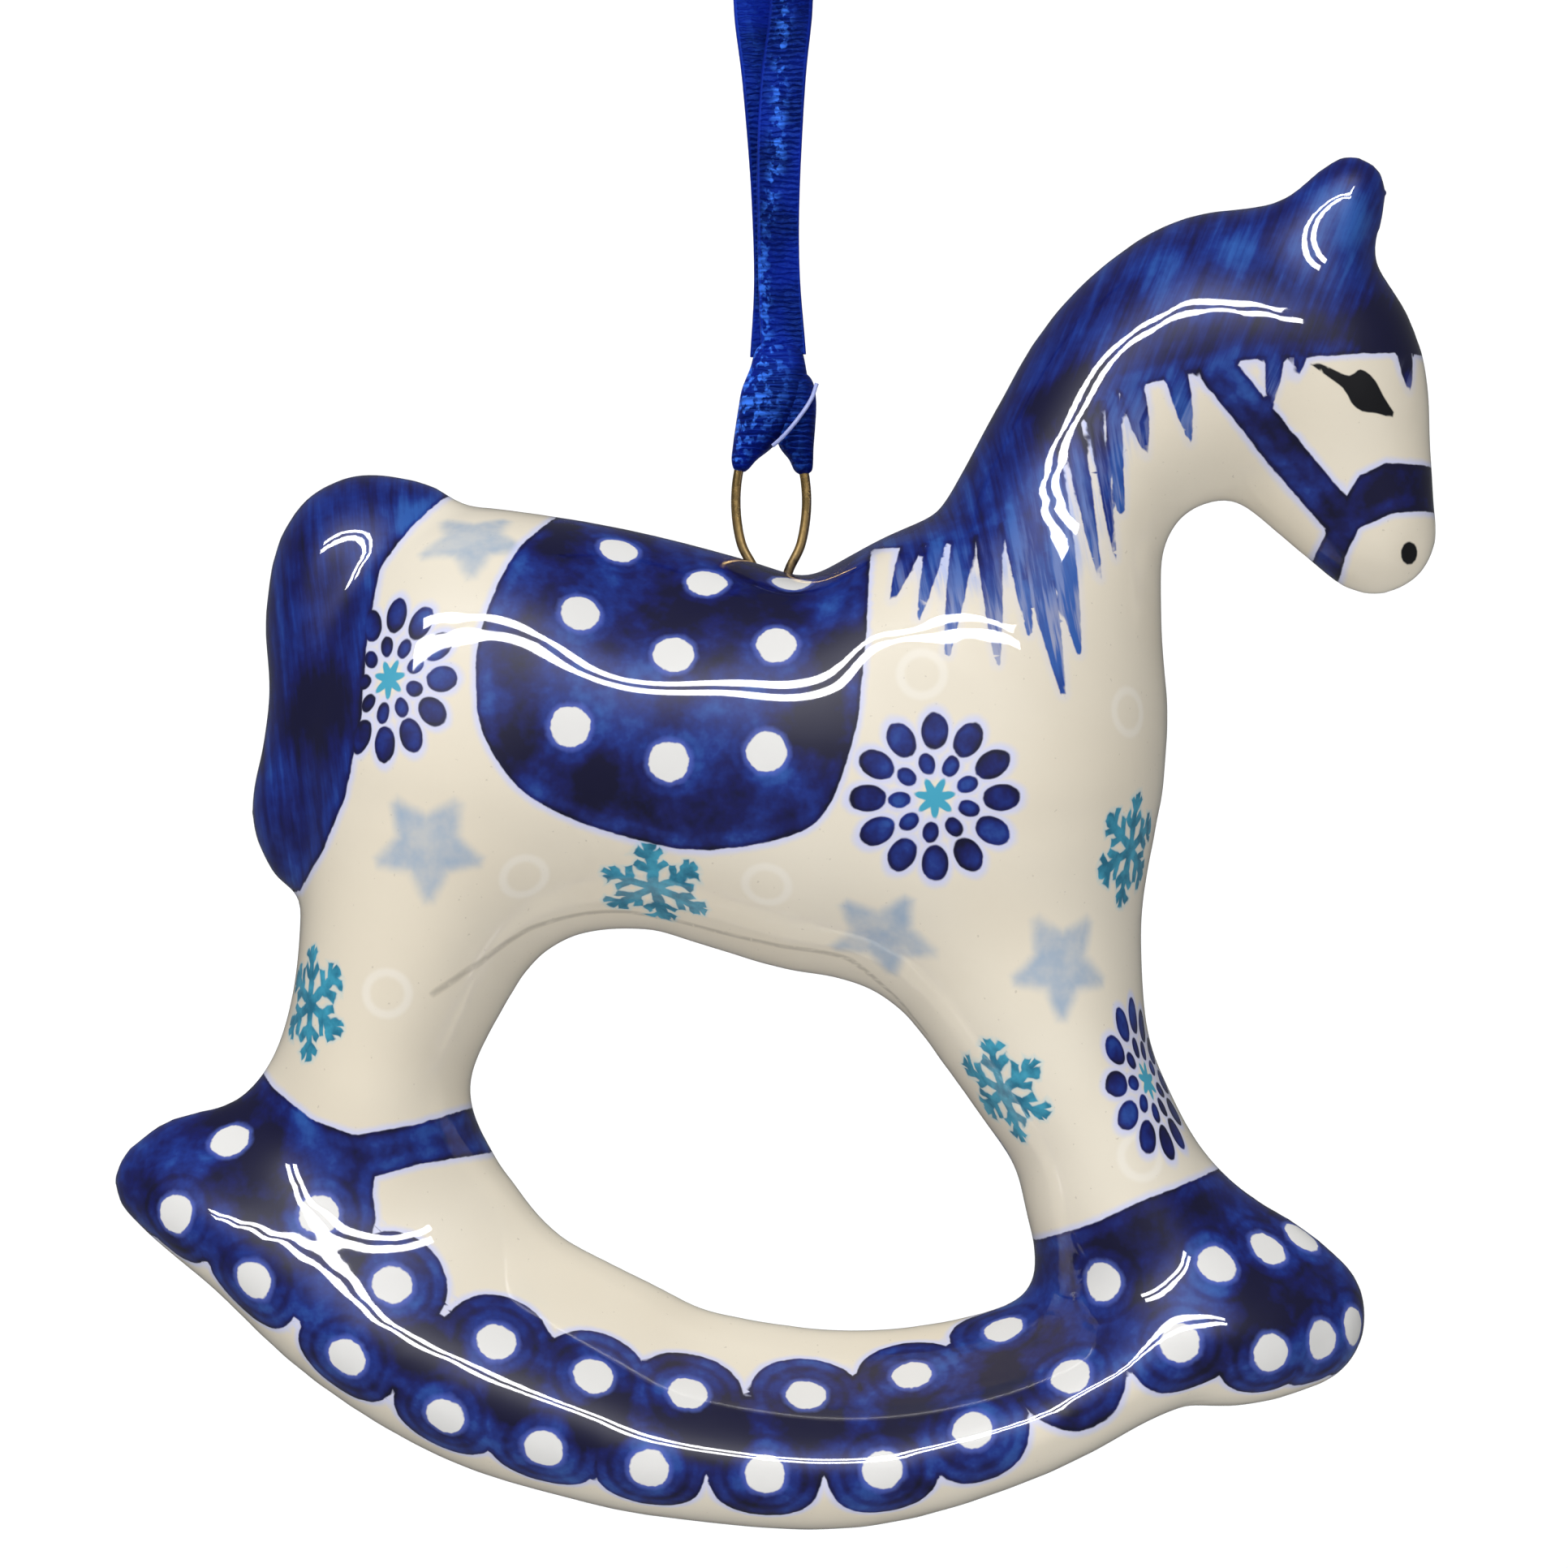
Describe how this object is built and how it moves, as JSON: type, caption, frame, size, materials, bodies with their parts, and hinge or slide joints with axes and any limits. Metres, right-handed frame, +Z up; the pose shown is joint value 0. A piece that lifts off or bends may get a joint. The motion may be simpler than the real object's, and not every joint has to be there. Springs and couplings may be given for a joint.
{
  "type": "hanging rocking horse ornament",
  "caption": "Hanging rocking-horse ornament: a hollow glazed stoneware horse on a rocker, a wire eye set in its saddle, and a satin ribbon loop.",
  "frame": {"origin": "the place inside the top of the ribbon loop that a hook bears on; the ornament hangs below it", "axes": "+Z up, +X towards the horse's head, +Y towards the horse's left side"},
  "size_m": [0.0952, 0.0276, 0.132],
  "materials": {
    "glazed_stoneware": "clear gloss glaze over cream stoneware with cobalt underglaze painting",
    "brass_wire": "drawn wire, darkened by the kiln near the clay",
    "blue_satin": "woven satin with a soft sheen"
  },
  "bodies": {
    "knot": {"ribbon_knot": "blue_satin"},
    "ribbon": {"ribbon_strand_front": "blue_satin", "ribbon_strand_back": "blue_satin"},
    "hitch": {"ribbon_hitch": "blue_satin"},
    "horse": {"horse_body": "glazed_stoneware", "wire_loop": "brass_wire"}
  },
  "joints": [
    {"name": "loop_swing", "type": "hinge", "parent": "knot", "child": "ribbon", "pos_m": [0, 0, 0], "axis": [1, 0, 0], "range_deg": [-25, 25]},
    {"name": "ribbon_twist", "type": "hinge", "parent": "ribbon", "child": "hitch", "pos_m": [0, 0, -0.032], "axis": [0, 0, 1], "range_deg": [-90, 90]},
    {"name": "ring_swing", "type": "hinge", "parent": "hitch", "child": "horse", "pos_m": [0, 0, -0.0399], "axis": [1, 0, 0], "range_deg": [-30, 30]}
  ]
}
